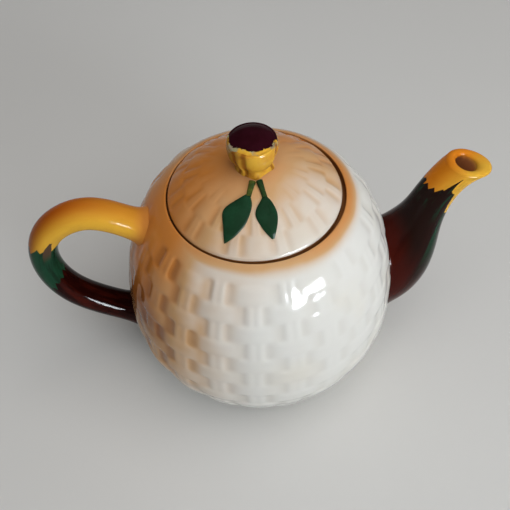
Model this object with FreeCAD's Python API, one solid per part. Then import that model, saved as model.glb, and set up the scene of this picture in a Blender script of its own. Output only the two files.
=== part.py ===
import FreeCAD, Part
import math
import os
from FreeCAD import Vector

# A glazed teapot with a lid that lifts out of its seat.
# Millimetres, +Z up. The pot stands on z = 0 with its axis on Z, the spout points along +X and the
# handle along -X. The left and right leaf are named as seen from the front, which is -Y.

# Pot: the outline of the wall, the foot and the rim
BELLY_R = 70.0  # outer radius at the widest point
BELLY_Z = 46.0  # height of the widest point
RIM_Z = 118.5  # height of the rim round the lid
SHOULDER_LEVEL_IN = 9.0  # how far inside the rim the shoulder's curve would become level
FOOT_R = 37.0  # outer radius of the foot ring
FOOT_W = 6.0  # width of the foot ring on the table
FOOT_H = 3.0  # height of the foot ring
WALL = 4.5  # thickness of the wall
FLOOR_T = 5.0  # thickness of the bottom
RIM_ROUND = 1.2  # rounding of the rim's inner edge
FOOT_ROUND = 0.8  # rounding of the foot ring's edges

# Seat: the recess in the rim that carries the lid
SEAT_DEPTH = 4.5  # from the rim down to the ledge
LEDGE_W = 6.0  # width of the ledge
LEDGE_T = 4.0  # thickness of the ledge

# Lid: a domed cover with a flange that keeps it in the mouth
LID_R = 41.0  # outer radius
LID_GAP = 1.9  # play between the lid's edge and the seat
LID_SHIFT = -0.6  # the lid lies this far along X from the middle of its seat
LID_EDGE_H = 4.0  # height of the lid's upright edge
LID_RISE = 19.5  # rise of the dome above that edge
LID_T = 4.0  # thickness of the dome
LID_ROUND = 1.5  # rounding between edge and dome
FLANGE_GAP = 1.4  # play between the flange and the mouth
FLANGE_T = 3.2  # thickness of the flange
FLANGE_DEPTH = 9.0  # depth of the flange below the ledge
VENT_D = 4.0  # steam hole in the lid
VENT_OUT = 17.0  # distance of the steam hole behind the middle of the knob

# Knob: a bud in a lobed calyx
SEPALS = 5  # lobes round the calyx
SEPAL_GROOVE = 0.7  # depth of the grooves between them
CALYX_FOOT_R = 8.2  # radius where the calyx stands on the lid
CALYX_WAIST_R = 10.2  # radius half way up
CALYX_WAIST_H = 5.0  # height of that radius above the top of the dome
CALYX_R = 11.7  # largest radius
CALYX_SWELL_H = 11.0  # height of the largest radius above the top of the dome
CALYX_LIP_W = 0.5  # least width of the calyx's lip round the bud
CALYX_H = 15.0  # height of the lip above the top of the dome
BUD_R = 10.1  # radius of the bud
BUD_RISE = 2.8  # rise of the bud above the lip
BUD_DEPTH = 5.0  # depth of the bud inside the calyx

# Leaves: two leaves on stems, lying on the dome in front of the knob. Angles are turned from the front.
LEAF_T = 1.2  # height of a leaf above the dome
STEM_T = 1.8  # height of a stem above the dome
STEM_W = 2.6  # width of a stem
LEFT_BASE_OUT = 16.5  # distance of the left leaf's base from the middle of the knob
LEFT_BASE_TURN = -13.5  # direction of that base
LEFT_LENGTH = 21.2  # length of the left leaf
LEFT_TURN = -37.5  # direction in which the left leaf points
LEFT_INNER = 5.2  # half width on the side towards the other leaf
LEFT_OUTER = 6.6  # half width on the other side
RIGHT_BASE_OUT = 17.5
RIGHT_BASE_TURN = 9.0
RIGHT_LENGTH = 17.6
RIGHT_TURN = 6.0
RIGHT_INNER = 4.6
RIGHT_OUTER = 5.2

# Handle: an oval bar from the shoulder round to the lower belly
HANDLE_T = 14.4  # thickness in the plane of the handle
HANDLE_W = 16.6  # width across it
HANDLE_FLARE = 0.24  # share by which the bar swells where it meets the pot
HANDLE_FLARE_LENGTH = 0.16  # share of the bar's length over which it swells
HANDLE_SECTIONS = 13  # ovals along the bar
HANDLE_REACH = 44.5  # how far the handle stands out beyond the belly
HANDLE_TOP_DROP = 15.5  # upper end, below the rim
HANDLE_CREST_OUT = 12.0  # highest point of the middle line, beyond the belly
HANDLE_CREST_DROP = 3.0  # highest point of the middle line, below the rim
HANDLE_BEND_OUT = 31.0  # middle line at the upper bend, beyond the belly
HANDLE_BEND_DROP = 12.6  # upper bend, below the rim
HANDLE_SIDE_Z = 81.0  # height of the outermost point
HANDLE_HEEL_OUT = 28.0  # middle line at the lower bend, beyond the belly
HANDLE_HEEL_Z = 57.0  # height of the lower bend
HANDLE_LOW_Z = 32.5  # lower end

# Spout: a hollow tube that leaves the belly wide and ends in a narrow lip
SPOUT_WALL = 3.4  # thickness of the wall
SPOUT_LIP_WALL = 4.4  # thickness of the wall at the lip
SPOUT_ROOT_Z = 49.0  # height of the middle of the root
SPOUT_ROOT_TALL = 48.0  # root, measured in the plane of the spout
SPOUT_ROOT_WIDE = 44.0  # root, measured across it
SPOUT_SWELL_OUT = 5.4  # middle line where the root narrows, beyond the belly
SPOUT_SWELL_Z = 64.5
SPOUT_SWELL_TALL = 38.8
SPOUT_SWELL_WIDE = 37.0
SPOUT_NECK_OUT = 14.0  # middle line at the neck, beyond the belly
SPOUT_NECK_DROP = 31.0  # neck, below the rim
SPOUT_NECK_D = 23.4
SPOUT_THROAT_OUT = 20.5  # middle line below the lip, beyond the belly
SPOUT_THROAT_DROP = 12.0
SPOUT_THROAT_D = 18.9
SPOUT_LIP_OUT = 33.6  # middle of the opening, beyond the belly
SPOUT_LIP_RISE = 3.8  # middle of the opening, above the rim
SPOUT_LIP_TALL = 16.5
SPOUT_LIP_WIDE = 17.0
SPOUT_LIP_TILT = 18.0  # degrees by which the opening leans outwards from level
SPOUT_END = 9.0  # length of tube beyond the opening that is cut away
STRAINER_D = 5.6  # holes in the pot's wall behind the spout
STRAINER_PITCH = 10.0  # from the middle hole to each hole of the ring round it
STRAINER_RING = 6  # holes in that ring

# Sizes that follow from those above
SEAT_R = LID_R + LID_GAP
MOUTH_R = SEAT_R - LEDGE_W
LEDGE_Z = RIM_Z - SEAT_DEPTH
CEILING_Z = LEDGE_Z - LEDGE_T
FLOOR_Z = FOOT_H + FLOOR_T
SHOULDER_R = SEAT_R - SHOULDER_LEVEL_IN
SHOULDER_SPAN = BELLY_R - SHOULDER_R
SHOULDER_RISE = (RIM_Z - BELLY_Z) / math.sqrt(1 - (SHOULDER_LEVEL_IN / SHOULDER_SPAN) ** 2)
LID_EDGE_Z = LEDGE_Z + LID_EDGE_H
LID_TOP_Z = LID_EDGE_Z + LID_RISE
DOME_R = (LID_R ** 2 + LID_RISE ** 2) / (2 * LID_RISE)
DOME_CENTRE = Vector(LID_SHIFT, 0, LID_TOP_Z - DOME_R)
FLANGE_R = MOUTH_R - FLANGE_GAP
BUD_FOOT_Z = LID_TOP_Z + CALYX_H - BUD_DEPTH
CLEAR = 2 * (BELLY_R + RIM_Z)  # longer than anything here, for cutting right through
UP = Vector(0, 0, 1)
ACROSS = Vector(0, 1, 0)


def pot_radius(z):
    """Outer radius of the pot's wall at a height."""
    if z < BELLY_Z:
        share = (BELLY_Z - z) / (BELLY_Z - FOOT_H)
        return FOOT_R + (BELLY_R - FOOT_R) * math.sqrt(1 - share ** 2)
    share = (z - BELLY_Z) / SHOULDER_RISE
    return SHOULDER_R + SHOULDER_SPAN * math.sqrt(1 - share ** 2)


def line(*points):
    """Straight edges from point to point."""
    return [Part.makeLine(a, b) for a, b in zip(points, points[1:])]


def ellipse_arc(centre, span, rise, start, end):
    """The short arc between two points of an upright ellipse in the XZ plane."""
    side = centre + Vector(span, 0, 0)
    top = centre + Vector(0, 0, rise)
    curve = Part.Ellipse(side, top, centre) if span > rise else Part.Ellipse(top, side, centre)
    first = curve.parameter(start)
    last = curve.parameter(end)
    if (last - first) % (2 * math.pi) > math.pi:
        first, last = last, first
    return curve.toShape(first, last)


def turned(edges):
    """Solid of revolution about Z from the closed half outline that the edges make."""
    return Part.Face(Part.Wire(edges)).revolve(Vector(), UP, 360)


def cylinder(radius, low, high, x=0.0, y=0.0):
    """Upright cylinder between two heights."""
    return Part.makeCylinder(radius, high - low, Vector(x, y, low), UP)


def rounded(shape, amount, rings):
    """Rounds the circular edges that have the given radius and height."""
    chosen = []
    for edge in shape.Edges:
        if edge.Degenerated or not isinstance(edge.Curve, Part.Circle):
            continue
        ring = edge.Curve
        for radius, z in rings:
            if abs(ring.Radius - radius) < 1e-4 and abs(ring.Center.z - z) < 1e-4:
                chosen.append(edge)
    return shape.makeFillet(amount, chosen)


def oval(centre, along, tall, wide):
    """Closed oval square to a direction in the XZ plane, tall in that plane and wide across it."""
    up = ACROSS.cross(along).normalize() * (tall / 2)
    side = ACROSS * (wide / 2)
    place = FreeCAD.Matrix(up.x, side.x, along.x, centre.x,
                           up.y, side.y, along.y, centre.y,
                           up.z, side.z, along.z, centre.z,
                           0, 0, 0, 1)
    return Part.Wire(Part.makeCircle(1.0).transformGeometry(place).Edges)


def middle_line(points, first=None, last=None):
    """Smooth curve through points, with the directions at its ends where they are given."""
    curve = Part.BSplineCurve()
    if first:
        curve.interpolate(Points=points, InitialTangent=first, FinalTangent=last)
    else:
        curve.interpolate(points)
    return curve


def pot_mass():
    """The pot as one full lump, with the outer surface that everything else is set against."""
    foot = Vector(FOOT_R, 0, FOOT_H)
    belly = Vector(BELLY_R, 0, BELLY_Z)
    rim = Vector(SEAT_R, 0, RIM_Z)
    lower = ellipse_arc(Vector(FOOT_R, 0, BELLY_Z), BELLY_R - FOOT_R, BELLY_Z - FOOT_H, foot, belly)
    upper = ellipse_arc(Vector(SHOULDER_R, 0, BELLY_Z), SHOULDER_SPAN, SHOULDER_RISE, belly, rim)
    closing = line(rim, Vector(0, 0, RIM_Z), Vector(), Vector(FOOT_R, 0, 0), foot)
    return turned([lower, upper] + closing)


def pot_cavity():
    """The space inside the pot, up to the underside of the ledge."""
    floor = Vector(FOOT_R, 0, FLOOR_Z)
    belly = Vector(BELLY_R - WALL, 0, BELLY_Z)
    span = SHOULDER_SPAN - WALL
    rise = SHOULDER_RISE - WALL
    ceiling_r = SHOULDER_R + span * math.sqrt(1 - ((CEILING_Z - BELLY_Z) / rise) ** 2)
    ceiling = Vector(ceiling_r, 0, CEILING_Z)
    lower = ellipse_arc(Vector(FOOT_R, 0, BELLY_Z), belly.x - FOOT_R, BELLY_Z - FLOOR_Z, floor, belly)
    upper = ellipse_arc(Vector(SHOULDER_R, 0, BELLY_Z), span, rise, belly, ceiling)
    closing = line(ceiling, Vector(0, 0, CEILING_Z), Vector(0, 0, FLOOR_Z), floor)
    return turned([lower, upper] + closing)


def strainer_holes():
    """Holes through the wall into the spout: one in the middle and a ring round it."""
    spots = [(0.0, 0.0)]
    for i in range(STRAINER_RING):
        angle = 2 * math.pi * i / STRAINER_RING
        spots.append((STRAINER_PITCH * math.sin(angle), STRAINER_PITCH * math.cos(angle)))
    holes = []
    for y, rise in spots:
        start = Vector(SHOULDER_R, y, SPOUT_ROOT_Z + rise)
        holes.append(Part.makeCylinder(STRAINER_D / 2, BELLY_R, start, Vector(1, 0, 0)))
    return holes


def pot_body():
    """Hollow pot with foot ring, ledge for the lid and strainer behind the spout."""
    seat = cylinder(SEAT_R, LEDGE_Z, RIM_Z + CLEAR)
    mouth = cylinder(MOUTH_R, CEILING_Z - LEDGE_T, LEDGE_Z + SEAT_DEPTH)
    foot_hollow = cylinder(FOOT_R - FOOT_W, 0, FOOT_H)
    body = pot_mass().cut([pot_cavity(), seat, mouth, foot_hollow] + strainer_holes())
    body = rounded(body, RIM_ROUND, [(SEAT_R, RIM_Z), (MOUTH_R, LEDGE_Z)])
    return rounded(body, FOOT_ROUND, [(FOOT_R, 0), (FOOT_R - FOOT_W, 0)])


def spout_stations():
    """Middle points of the spout with the size of its oval there, from inside the pot to past the lip."""
    lean = math.radians(SPOUT_LIP_TILT)
    lip = Vector(BELLY_R + SPOUT_LIP_OUT, 0, RIM_Z + SPOUT_LIP_RISE)
    past = lip + Vector(math.cos(lean), 0, math.sin(lean)) * SPOUT_END
    root = Vector(pot_radius(SPOUT_ROOT_Z) - 2 * WALL, 0, SPOUT_ROOT_Z)
    swell = Vector(BELLY_R + SPOUT_SWELL_OUT, 0, SPOUT_SWELL_Z)
    neck = Vector(BELLY_R + SPOUT_NECK_OUT, 0, RIM_Z - SPOUT_NECK_DROP)
    throat = Vector(BELLY_R + SPOUT_THROAT_OUT, 0, RIM_Z - SPOUT_THROAT_DROP)
    return [(root, SPOUT_ROOT_TALL, SPOUT_ROOT_WIDE), (swell, SPOUT_SWELL_TALL, SPOUT_SWELL_WIDE),
            (neck, SPOUT_NECK_D, SPOUT_NECK_D), (throat, SPOUT_THROAT_D, SPOUT_THROAT_D),
            (lip, SPOUT_LIP_TALL, SPOUT_LIP_WIDE), (past, SPOUT_LIP_TALL, SPOUT_LIP_WIDE)]


def spout_tube(wall, lip_wall):
    """The spout's loft, taken in by a wall thickness all round and by another one at the lip."""
    stations = spout_stations()
    walls = [wall] * (len(stations) - 2) + [lip_wall] * 2
    lean = math.radians(SPOUT_LIP_TILT)
    end = Vector(math.cos(lean), 0, math.sin(lean))
    curve = middle_line([point for point, tall, wide in stations], Vector(1, 0, 0), end)
    ovals = []
    for (point, tall, wide), thickness in zip(stations, walls):
        along = curve.tangent(curve.parameter(point))[0]
        ovals.append(oval(point, along, tall - 2 * thickness, wide - 2 * thickness))
    return Part.makeLoft(ovals, True, False)


def spout():
    """Hollow spout, cut to the pot's outer surface at its root and level with its lip at the tip."""
    lean = math.radians(SPOUT_LIP_TILT)
    lip = Vector(BELLY_R + SPOUT_LIP_OUT, 0, RIM_Z + SPOUT_LIP_RISE)
    above = Part.makeBox(CLEAR, CLEAR, CLEAR, Vector(-CLEAR / 2, -CLEAR / 2, 0))
    above.Placement = FreeCAD.Placement(lip, FreeCAD.Rotation(ACROSS, math.degrees(lean)))
    return spout_tube(0.0, 0.0).cut([pot_mass(), above]).cut(spout_tube(SPOUT_WALL, SPOUT_LIP_WALL))


def handle_points():
    """Points of the handle's middle line, from inside the shoulder round to inside the lower belly."""
    top_z = RIM_Z - HANDLE_TOP_DROP
    top = Vector(-pot_radius(top_z), 0, top_z)
    crest = Vector(-BELLY_R - HANDLE_CREST_OUT, 0, RIM_Z - HANDLE_CREST_DROP)
    bend = Vector(-BELLY_R - HANDLE_BEND_OUT, 0, RIM_Z - HANDLE_BEND_DROP)
    side = Vector(-BELLY_R - HANDLE_REACH + HANDLE_T / 2, 0, HANDLE_SIDE_Z)
    heel = Vector(-BELLY_R - HANDLE_HEEL_OUT, 0, HANDLE_HEEL_Z)
    low = Vector(-pot_radius(HANDLE_LOW_Z), 0, HANDLE_LOW_Z)
    inside_top = top + (top - crest).normalize() * HANDLE_T
    inside_low = low + (low - heel).normalize() * HANDLE_T
    return [inside_top, top, crest, bend, side, heel, low, inside_low]


def handle():
    """Handle bar, cut to the pot's outer surface at both ends."""
    curve = middle_line(handle_points())
    ovals = []
    for i in range(HANDLE_SECTIONS):
        share = i / (HANDLE_SECTIONS - 1)
        u = curve.FirstParameter + share * (curve.LastParameter - curve.FirstParameter)
        near_end = max(0.0, 1 - min(share, 1 - share) / HANDLE_FLARE_LENGTH)
        swell = 1 + HANDLE_FLARE * near_end ** 2
        ovals.append(oval(curve.value(u), curve.tangent(u)[0], HANDLE_T * swell, HANDLE_W * swell))
    bar = Part.makeLoft(ovals, True, False)
    return bar.cut(pot_mass())


def dome(extra):
    """Ball whose cap is the lid's dome, grown by an extra height."""
    return Part.makeSphere(DOME_R + extra, DOME_CENTRE)


def lid_shell():
    """Domed lid with the flange that drops into the mouth, and its steam hole."""
    cover = cylinder(LID_R, LEDGE_Z, LID_TOP_Z, LID_SHIFT).common(dome(0.0))
    cover = rounded(cover, LID_ROUND, [(LID_R, LID_EDGE_Z)])
    flange = cylinder(FLANGE_R, LEDGE_Z - FLANGE_DEPTH, LEDGE_Z, LID_SHIFT)
    bore = cylinder(FLANGE_R - FLANGE_T, LEDGE_Z - FLANGE_DEPTH, LID_TOP_Z, LID_SHIFT)
    hollow = bore.common(dome(-LID_T))
    vent = cylinder(VENT_D / 2, LEDGE_Z, LID_TOP_Z + LID_T, LID_SHIFT, VENT_OUT)
    return cover.fuse(flange).cut([hollow, vent]).removeSplitter()


def lobed_ring(radius, z):
    """Closed outline of arcs, one for each sepal, with grooves between them."""
    corners = []
    crowns = []
    for i in range(SEPALS):
        groove = 2 * math.pi * i / SEPALS
        crown = groove + math.pi / SEPALS
        inner = radius - SEPAL_GROOVE
        corners.append(Vector(LID_SHIFT + inner * math.cos(groove), inner * math.sin(groove), z))
        crowns.append(Vector(LID_SHIFT + radius * math.cos(crown), radius * math.sin(crown), z))
    ends = corners[1:] + corners[:1]
    arcs = [Part.Arc(a, m, b).toShape() for a, m, b in zip(corners, crowns, ends)]
    return Part.Wire(arcs)


def knob_bud():
    """Domed bud that fills the calyx."""
    lip_z = LID_TOP_Z + CALYX_H
    crown_r = (BUD_R ** 2 + BUD_RISE ** 2) / (2 * BUD_RISE)
    crown = Part.makeSphere(crown_r, Vector(LID_SHIFT, 0, lip_z + BUD_RISE - crown_r))
    return cylinder(BUD_R, BUD_FOOT_Z, lip_z + BUD_RISE, LID_SHIFT).common(crown)


def knob_calyx():
    """Lobed cup on the lid's dome, hollowed for the bud."""
    lip_r = BUD_R + CALYX_LIP_W + SEPAL_GROOVE
    rings = [lobed_ring(CALYX_FOOT_R, LID_TOP_Z - LID_T / 2),
             lobed_ring(CALYX_WAIST_R, LID_TOP_Z + CALYX_WAIST_H),
             lobed_ring(CALYX_R, LID_TOP_Z + CALYX_SWELL_H),
             lobed_ring(lip_r, LID_TOP_Z + CALYX_H)]
    return Part.makeLoft(rings, True, False).cut([dome(0.0), knob_bud()])


def from_knob(out, turn):
    """Point level with the ledge at a distance from the knob's middle, turned from the front."""
    angle = math.radians(turn)
    return Vector(LID_SHIFT + out * math.sin(angle), -out * math.cos(angle), LEDGE_Z)


def on_dome(outline, height):
    """Plate that lies on the lid's dome above an outline level with the ledge."""
    prism = Part.Face(Part.Wire(outline)).extrude(UP * (LID_TOP_Z + LID_T - LEDGE_Z))
    return prism.common(dome(height)).cut(dome(0.0))


def leaf(base_out, base_turn, length, turn, left_half, right_half):
    """Pointed leaf with two curved sides."""
    base = from_knob(base_out, base_turn)
    angle = math.radians(turn)
    along = Vector(math.sin(angle), -math.cos(angle), 0)
    to_right = Vector(math.cos(angle), math.sin(angle), 0)
    tip = base + along * length
    middle = base + along * (length / 2)
    left_side = Part.Arc(base, middle - to_right * left_half, tip).toShape()
    right_side = Part.Arc(tip, middle + to_right * right_half, base).toShape()
    return on_dome([left_side, right_side], LEAF_T)


def stem(base_out, base_turn, leaf_shape):
    """Straight stem from the calyx's foot to the leaf's base, cut to both."""
    start = from_knob(CALYX_FOOT_R - 2 * SEPAL_GROOVE, base_turn)
    end = from_knob(base_out + STEM_W, base_turn)
    angle = math.radians(base_turn)
    half = Vector(math.cos(angle), math.sin(angle), 0) * (STEM_W / 2)
    outline = line(start - half, end - half, end + half, start + half, start - half)
    return on_dome(outline, STEM_T).cut([leaf_shape, knob_calyx()])


def left_leaf():
    return leaf(LEFT_BASE_OUT, LEFT_BASE_TURN, LEFT_LENGTH, LEFT_TURN, LEFT_OUTER, LEFT_INNER)


def right_leaf():
    return leaf(RIGHT_BASE_OUT, RIGHT_BASE_TURN, RIGHT_LENGTH, RIGHT_TURN, RIGHT_INNER, RIGHT_OUTER)


def parts():
    """Every piece of the teapot by name."""
    left = left_leaf()
    right = right_leaf()
    return {
        "pot_body": pot_body(),
        "spout": spout(),
        "handle": handle(),
        "lid_shell": lid_shell(),
        "knob_calyx": knob_calyx(),
        "knob_bud": knob_bud(),
        "left_leaf": left,
        "right_leaf": right,
        "left_leaf_stem": stem(LEFT_BASE_OUT, LEFT_BASE_TURN, left),
        "right_leaf_stem": stem(RIGHT_BASE_OUT, RIGHT_BASE_TURN, right),
    }


os.makedirs("parts", exist_ok=True)
for name, shape in parts().items():
    print(name, "solids", len(shape.Solids), "valid", shape.isValid(), "volume %.1f" % shape.Volume)
    shape.exportStep("parts/" + name + ".step")
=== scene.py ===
import math
import random
from functools import partialmethod

import bmesh
import bpy
import numpy as np
from mathutils import Matrix, Vector


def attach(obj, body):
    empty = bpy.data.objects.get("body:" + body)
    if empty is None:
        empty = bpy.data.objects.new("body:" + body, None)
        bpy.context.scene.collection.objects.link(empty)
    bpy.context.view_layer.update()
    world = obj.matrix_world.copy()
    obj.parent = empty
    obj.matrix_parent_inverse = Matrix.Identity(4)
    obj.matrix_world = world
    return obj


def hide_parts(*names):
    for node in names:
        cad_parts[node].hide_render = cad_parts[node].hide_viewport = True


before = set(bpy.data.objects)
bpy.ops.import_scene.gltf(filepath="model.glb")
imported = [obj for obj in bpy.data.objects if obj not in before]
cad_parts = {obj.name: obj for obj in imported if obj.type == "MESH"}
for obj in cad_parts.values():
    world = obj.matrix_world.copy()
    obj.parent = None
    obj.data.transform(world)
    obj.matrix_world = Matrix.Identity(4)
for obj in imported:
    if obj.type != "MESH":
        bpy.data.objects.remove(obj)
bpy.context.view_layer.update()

# A glazed teapot with basket-weave relief, painted handle and spout, and a lid that lifts off.
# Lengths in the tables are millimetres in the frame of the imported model; MM turns them into metres.
# Angles round the pot are degrees from the front, which is -Y, and grow towards the spout, which is +X.
# A smooth change is given by where it starts and ends, and the values there if they aren't 0 and 1.
MM = 0.001
FRONT = -90.0  # direction of the front, measured from +X
HANDLE_SIDE = -90.0  # direction of the handle, measured from the front

# Pot
BELLY_R = 70.0
BELLY_Z = 46.0
RIM_Z = 118.5
FOOT_R = 37.0
FOOT_W = 6.0
FOOT_H = 3.0
WALL = 4.5
FLOOR_T = 5.0
SEAT_R = 42.9
SEAT_DEPTH = 4.5
LEDGE_W = 6.0
LEDGE_T = 4.0
SHOULDER_LEVEL_IN = 9.0  # from the seat to where the shoulder would be level
RIM_ROUND = 1.3
EDGE_ROUND = 1.2
FOOT_ROUND = 0.8
STRAINER_D = 5.6
STRAINER_PITCH = 10.0
STRAINER_RING = 6

# Basket weave of the pot and the lid
STAKES = 22  # upright stakes round the pot
STAKE_TURN = -24.5  # direction of a stake that lies on top in the first row
LID_STAKE_TURN = -21.0
ROW_H = 10.2  # height of a strap
LID_ROW_H = 10.0
WEAVE_START = 10.3  # along the wall from the rim to the first row
WEAVE_COMES = (WEAVE_START - 0.5, WEAVE_START + 0.5)
WEAVE_GOES = (118.0, 122.0, 1.0, 0.0)
LID_WEAVE_START = 0.8  # along the dome from its edge to the first row
LID_WEAVE_COMES = (14.0, 38.0)  # from the knob's middle
LID_WEAVE_GOES = (-0.8, 0.2, 1.0, 0.0)  # from the dome's edge
SLOT = -0.80  # height of the slots beside a stake, from the wall's surface
STAKE_TOP = 0.28  # height of the stake's two ribs
STRAP_TOP = 0.45  # height of a strap where it passes over a stake
RIB_OUT = 0.115  # middle of a rib from the middle of its stake, in stake spacings
RIB_HALF = 0.125  # half width of a rib
STRAP_SPAN = (0.16, 0.95)  # rise of a strap, in stake spacings
STRAP_BULGE = 0.8  # below 1 for a strap that rises steeply at first
STRAP_EDGE = 0.4  # depth of the seams between rows of straps, as a share of the slots
SEAM_SPAN = (0.84, 1.0)  # slope of a seam, in half heights of a row
LID_RELIEF = 0.68  # the lid's relief against the pot's
GLAZE_SOFTNESS = 4  # rounds of smoothing by which the glaze fills the relief
STAKE_JITTER = 0.035  # how far hand-cut stakes stray, in stake spacings
DEPTH_JITTER = 0.22  # how unevenly deep the slots are
POT_SEED = 7
LID_SEED = 8
HANDLE_RELIEF = (12.0, 32.0, 0.6, 1.0)  # relief by degrees from the handle, where the glaze is thick
# Sides where the glaze fills the weave most and least: middle and half width in degrees, share of the relief
UNEVEN_SIDES = ((36.0, 34.0, 0.42), (-52.0, 24.0, 1.35))

# Lid
LID_R = 41.6
LID_SHIFT = -0.6
LID_EDGE_H = 4.8
LID_RISE = 18.7
LID_T = 4.0
LID_ROUND = 1.0
LID_UNDER_ROUND = 0.8
FLANGE_GAP = 1.4
FLANGE_T = 3.2
FLANGE_DEPTH = 9.0
FLANGE_ROUND = 1.0
FLANGE_ROOT_ROUND = 0.6
VENT_D = 4.0
VENT_OUT = 17.0

# Knob: heights are measured from the top of the lid
CALYX_R = 11.7
CALYX_H = 15.0
CALYX_SIDE = ((8.8, -1.2), (8.4, 0.6), (10.2, 5.0), (CALYX_R, 11.0), (CALYX_R - 0.3, CALYX_H - 0.8))
CALYX_LIP_IN = 0.6
CALYX_LIP_ROUND = 0.5
CALYX_GROOVES = (-54.0, -27.0, 64.0, 112.0, 165.0, -118.0)  # directions of the folds between the sepals
CALYX_GROOVE_HALF = 9.0  # degrees
CALYX_GROOVE = (-1.5, 2.0, 0.0, 0.9)  # depth by height
CALYX_GROOVE_END = (-3.5, -0.5, 1.0, 0.0)  # by height from the lip
CALYX_DRIPS = (2.0, 68.0, 140.0, -150.0)  # directions of the runs of glaze round the foot
CALYX_DRIP_HALF = 15.0  # degrees
CALYX_DRIP = (0.4, 3.6, 1.2, 0.0)  # thickness by height
BUD_R = 10.1
BUD_RISE = 2.8
BUD_DEPTH = 5.0
BUD_ROUND = 0.4
BUD_LAP = 0.3  # how much narrower the calyx is than the bud in it

# Leaves
LEAF_T = 1.2
LEAF_FULL_W = 4.0  # width from which a leaf has its full thickness
LEAF_SUNK = 0.6  # depth below the dome
STEM_T = (1.8, 1.26)  # at the knob and at the leaf
STEM_W = (3.12, 2.34)
STEM_SUNK = 0.5
STEM_START = 11.0  # from the knob's middle
STEM_LAP = 1.5  # how far a stem runs under its leaf
BACK_ROUND = 0.6  # powers that round the back and the underside of leaves and stems
UNDER_ROUND = 0.5
# Where a leaf starts and points to, and the reach of its edges from its middle line at shares of its length
LEFT_LEAF = {"base_out": 16.5, "base_turn": -13.5, "length": 21.8, "turn": -37.5, "stem_turn": -8.5,
             "shares": (0, 0.10, 0.34, 0.50, 0.60, 0.72, 0.88, 1),
             "left": (0.3, 1.6, 5.1, 6.7, 6.2, 4.3, 1.9, 0.2),
             "right": (0.3, 2.7, 5.0, 5.3, 5.1, 4.3, 2.4, 0.2)}
RIGHT_LEAF = {"base_out": 17.5, "base_turn": 9.0, "length": 18.0, "turn": 6.0, "stem_turn": 8.0,
              "shares": (0, 0.15, 0.28, 0.40, 0.50, 0.65, 0.85, 1),
              "left": (0.4, 2.2, 4.4, 5.6, 5.7, 4.8, 2.9, 0.7),
              "right": (0.3, 2.1, 3.2, 3.8, 4.0, 3.5, 2.0, 0.5)}

# Handle
HANDLE_T = 14.4
HANDLE_W = 16.6
HANDLE_FLARE = 0.24
HANDLE_FLARE_LENGTH = 0.16
HANDLE_TOP_Z = 103.0
HANDLE_LINE = ((12.0, 115.5), (31.0, 105.9), (37.3, 81.0), (28.0, 57.0))  # beyond the belly, height
HANDLE_LOW_Z = 32.5
HANDLE_FILLET = (1.7, 2.8)  # how far the handle is drawn out where it meets the pot, and over what height
SPOUT_FILLET = (1.2, 2.0)

# Spout: beyond the belly, height, size in the plane of the spout, size across it
SPOUT_STATIONS = ((-9.0, 49.0, 48.0, 44.0), (5.4, 64.5, 38.8, 37.0), (14.0, 87.5, 23.4, 23.4),
                  (20.5, 106.5, 18.9, 18.9), (33.7, 123.2, 16.5, 19.8))
SPOUT_ROOT_Z = SPOUT_STATIONS[0][1]
SPOUT_WALL = 3.4
SPOUT_LIP_WALL = 4.4
SPOUT_LIP_TILT = 12.0
SPOUT_LIP_RISE = 24.0  # slope of the tube where it ends
SPOUT_END = 9.0
LIP_ROUND = 2.0  # height of the rounded lip
SPOUT_DEEP = (0.2, 3.6)  # below the lip, between the glaze of the tip and the painted shade inside

# Sprayed tan stain: strengths by degrees from the handle, or by millimetres down the wall
RING_STAIN = (95.0, 168.0, 0.62, 1.0)
RING_STAIN_NEAR = (40.0, 84.0, 0.25, 0.0)  # added on the handle's side
RING_STAIN_REACH = 6.4
PATCH_STAIN = (24.0, 62.0, 0.98, 0.0)
PATCH_STAIN_LOW = (50.0, 80.0, 1.0, 0.75)
PATCH_STAIN_END = (78.0, 106.0, 1.0, 0.0)
THIN_STAIN = 0.30  # round the edge of the patch
THIN_STAIN_FROM = 54.0
THIN_STAIN_TO = (4.0, 36.0, 108.0, 84.0)  # degrees by millimetres down
LID_STAIN = (-46.0, 13.0)  # from clear to full, measured from the knob away from the pale side
LID_PALE_SIDE = 30.0
KNOB_STAIN = (9.5, 19.0, 0.62, 0.0)  # from the knob's middle
SEAT_BROWN_AND_SHADE_SIDES = (105.0, 150.0, 1.0, 0.25)  # brown in the lid's seat, partly painted shade of the gap, by degrees from the front
SEAT_BELOW = 0.6  # from the rim down to the brown
SEAT_ON_LID = 0.4  # how far it goes in from the side of the lid
NEARLY = 0.1  # by which a point may miss a surface and still lie on it

# Mesh densities
WALL_STEPS = 24  # points round the pot for each stake
LID_STEPS = 20
WALL_STEP = 0.7
LID_STEP = 0.5
RIM_STEP = 1.2
FLOOR_STEP = 3.0
FOOT_STEP = 2.0
UNDER_STEP = 1.5
CALYX_LIP_STEP = 0.7
WALL_FINE = (600, 400)  # points from which the wall's even steps are taken, above and below the belly
INSIDE_RINGS = (30, 26)
HOLLOW_RINGS = 24
CORNER_POINTS = 6
AXIS_R = 0.5  # smallest ring round the axis
AXIS_TILT = 0.01  # and its angle on a dome, in radians
DOME_END = 0.4  # no ring of the lid's dome lies nearer to the axis
TUBE_AROUND = 96
TUBE_ALONG = 140
TUBE_FINE = 400
HANDLE_SIZES = 60
LIP_RINGS = 12
CALYX_AROUND = 240
CALYX_RINGS = 40
BUD_AROUND = 160
BUD_RINGS = 30
STRIP_AROUND = 40
LEAF_RINGS = 60
STEM_RINGS = 24
DRILL_AROUND = 24
ASKEW = (0.3, 0.5, 0.8)  # keeps the corners of the drills off the lines of the pieces
SHARP_EDGE = 50.0  # degrees from which an edge isn't smoothed

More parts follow.
